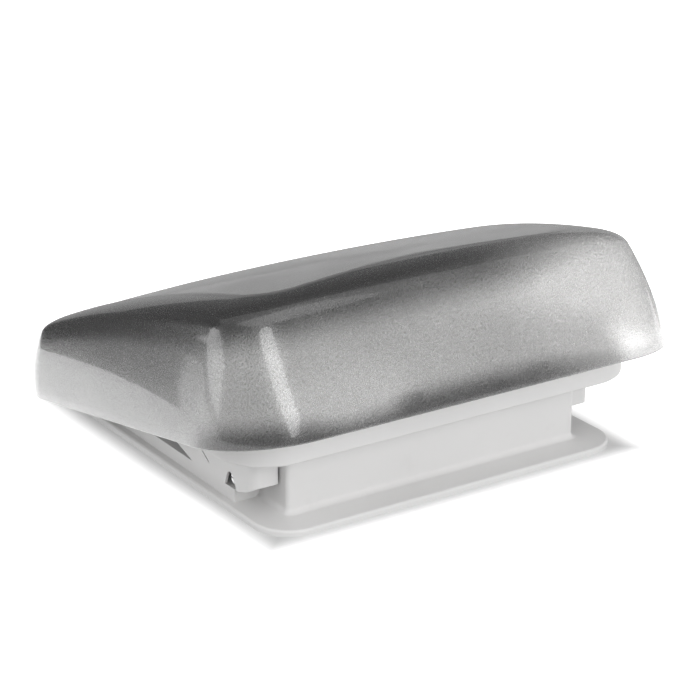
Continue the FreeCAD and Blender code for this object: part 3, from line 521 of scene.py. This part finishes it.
def dress_frame():
    """Finishes for the CAD nodes, by the record's slots."""
    finishes = {"white_abs": white_plastic(), "black_rubber": black_rubber(), "zinc_steel": zinc_steel(),
                "grey_nylon": grey_nylon(), "grey_knob": knob_plastic(), "screen_cloth": screen_cloth()}
    for part in frame["record"]["subparts"]:
        if part["material_slot"] in finishes:
            paint(part["node"], finishes[part["material_slot"]])


def studio():
    """White room: pale floor, soft lights, and cards that only reflections see.

    The floor glows, and both its colour and its glow carry a painted shadow round the flange. It sends no
    light up, so that the walls above the flange aren't lit from below.
    """
    floor = plate("floor", (0.0, 0.0, 0.0), 12.0, 12.0, (0, 0, 1))
    f = Finish("pale_floor", Roughness=0.6, Emission_Strength=1.0)
    x, y, z = f.axes()
    away = abs(x).most(abs(y))
    # painted shadow: the floor's glow falls nearly to nothing round the flange
    glow = f.blend(away.ramp(0.16, 0.21), grey(0.02), grey(1.1))
    pale = f.blend(f.noise(3.0), grey(0.93), grey(0.95))
    # painted shadow: the floor's colour darkens to a 0.6 grey in a band round the flange
    f.feed(Base_Color=f.blend(away.ramp(0.165, 0.2), grey(0.6), pale), Emission_Color=glow)
    floor.data.materials.append(f.material)
    floor.visible_diffuse = False
    room = bpy.data.worlds.new("grey_room")
    room.use_nodes = True
    room.node_tree.nodes["Background"].inputs["Color"].default_value = grey(1.0)
    room.node_tree.nodes["Background"].inputs["Strength"].default_value = 0.5
    bpy.context.scene.world = room
    light("overhead", (0.0, 0.0, 2.2), (0, 0, 0.1), 2.2, 2.2, 16.0)
    fill("front_fill", (-80, 8), (-80, 26), 1.6, 10.5)
    fill("left_fill", (175, 22), (175, 40), 1.4, 4.0)
    softbox("left_softbox", (147, 2), (147, 18), 1.5, 6.5)
    softbox("front_softbox", (-92, 14), (-130, 50), 0.6, 13.0)
    card("low_card", (60, -19), (60, 8), 0.45, 1.3, 0.40)
    card("high_card", (60, 7.0), (60, 45), 0.9, 1.3, 0.10)
    left_card = plate("left_card", (-0.30, 0.40, 0.25), 0.36, 0.49, (0.555, -0.83, 0), (0, 0, 1))
    only_in_reflections(left_card, 0.14)


def plate(name, centre, width, height, facing, up=(0, 1, 0)):
    """Flat staged rectangle round centre, facing one way, its height along up."""
    normal = Vector(facing).normalized()
    side = Vector(up).cross(normal).normalized()
    rise = normal.cross(side)
    corners = [Vector(centre) + side * (i * width / 2) + rise * (j * height / 2)
               for i, j in ((-1, -1), (1, -1), (1, 1), (-1, 1))]
    mesh = bpy.data.meshes.new(name)
    mesh.from_pydata(corners, [], [(0, 1, 2, 3)])
    made = bpy.data.objects.new(name, mesh)
    bpy.context.scene.collection.objects.link(made)
    return made


SIGHT = Vector((0.0, -0.08, 0.16))  # where the dome sees the lights and cards from


def heading(azimuth, elevation):
    a = math.radians(azimuth)
    e = math.radians(elevation)
    return Vector((math.cos(a) * math.cos(e), math.sin(a) * math.cos(e), math.sin(e)))


def span(low, high, distance):
    """Line between two headings from the dome, each an azimuth and an elevation: its middle, and its run."""
    bottom = SIGHT + heading(*low) * distance
    top = SIGHT + heading(*high) * distance
    return (bottom + top) / 2, top - bottom


def card(name, low, high, distance, width, tone):
    """Grey card between two headings from the dome."""
    centre, rise = span(low, high, distance)
    only_in_reflections(plate(name, centre, width, rise.length, SIGHT - centre, rise), tone)


def only_in_reflections(made, tone):
    """Give a card its even grey glow, and hide it from all but glossy rays, so that it lights nothing."""
    f = Finish(made.name, Roughness=1.0, Specular_IOR_Level=0.0, Emission_Strength=1.0)
    cloud = f.noise(2.0)
    f.feed(Base_Color=f.blend(cloud, grey(0.0), grey(0.01)),
           Emission_Color=f.blend(cloud, grey(tone * 0.9), grey(tone * 1.1)))
    made.data.materials.append(f.material)
    made.visible_camera = False
    made.visible_diffuse = False
    made.visible_shadow = False
    made.visible_transmission = False
    made.visible_volume_scatter = False


def fill(name, low, high, width, watts):
    """Softbox that reflections don't show."""
    softbox(name, low, high, width, watts).visible_glossy = False


def softbox(name, low, high, width, watts):
    """Area light between two headings from the dome, turned so that its height runs along their line."""
    centre, rise = span(low, high, 2.0)
    lamp = light(name, centre, SIGHT, width, rise.length, watts)
    back = (centre - SIGHT).normalized()
    side = rise.cross(back).normalized()
    lamp.rotation_euler = Matrix((side, back.cross(side), back)).transposed().to_euler()
    return lamp


def light(name, place, aim, width, height, watts):
    """Rectangular area light at a place, aimed at a point."""
    data = bpy.data.lights.new(name, "AREA")
    data.shape = "RECTANGLE"
    data.size = width
    data.size_y = height
    data.energy = watts
    lamp = bpy.data.objects.new(name, data)
    bpy.context.scene.collection.objects.link(lamp)
    lamp.location = place
    lamp.rotation_euler = (Vector(aim) - Vector(place)).to_track_quat("-Z", "Y").to_euler()
    return lamp


def camera():
    """Long lens from the hinge end's left, a little above."""
    azimuth = math.radians(-33.28)
    elevation = math.radians(21.11)
    back = Vector((math.sin(azimuth) * math.cos(elevation), -math.cos(azimuth) * math.cos(elevation),
                   math.sin(elevation)))
    data = bpy.data.cameras.new("camera")
    data.sensor_width = 36.0
    data.lens = 122.55
    data.clip_end = 50.0
    eye = bpy.data.objects.new("camera", data)
    bpy.context.scene.collection.objects.link(eye)
    eye.location = (-1.0197, -1.5679, 0.7891)
    eye.rotation_euler = (-back).to_track_quat("-Z", "Y").to_euler()
    bpy.context.scene.camera = eye


dress_frame()
acrylic = smoked_acrylic()
make_dome(acrylic)
make_lugs(acrylic)
studio()
camera()
bpy.context.scene.view_settings.view_transform = "Standard"
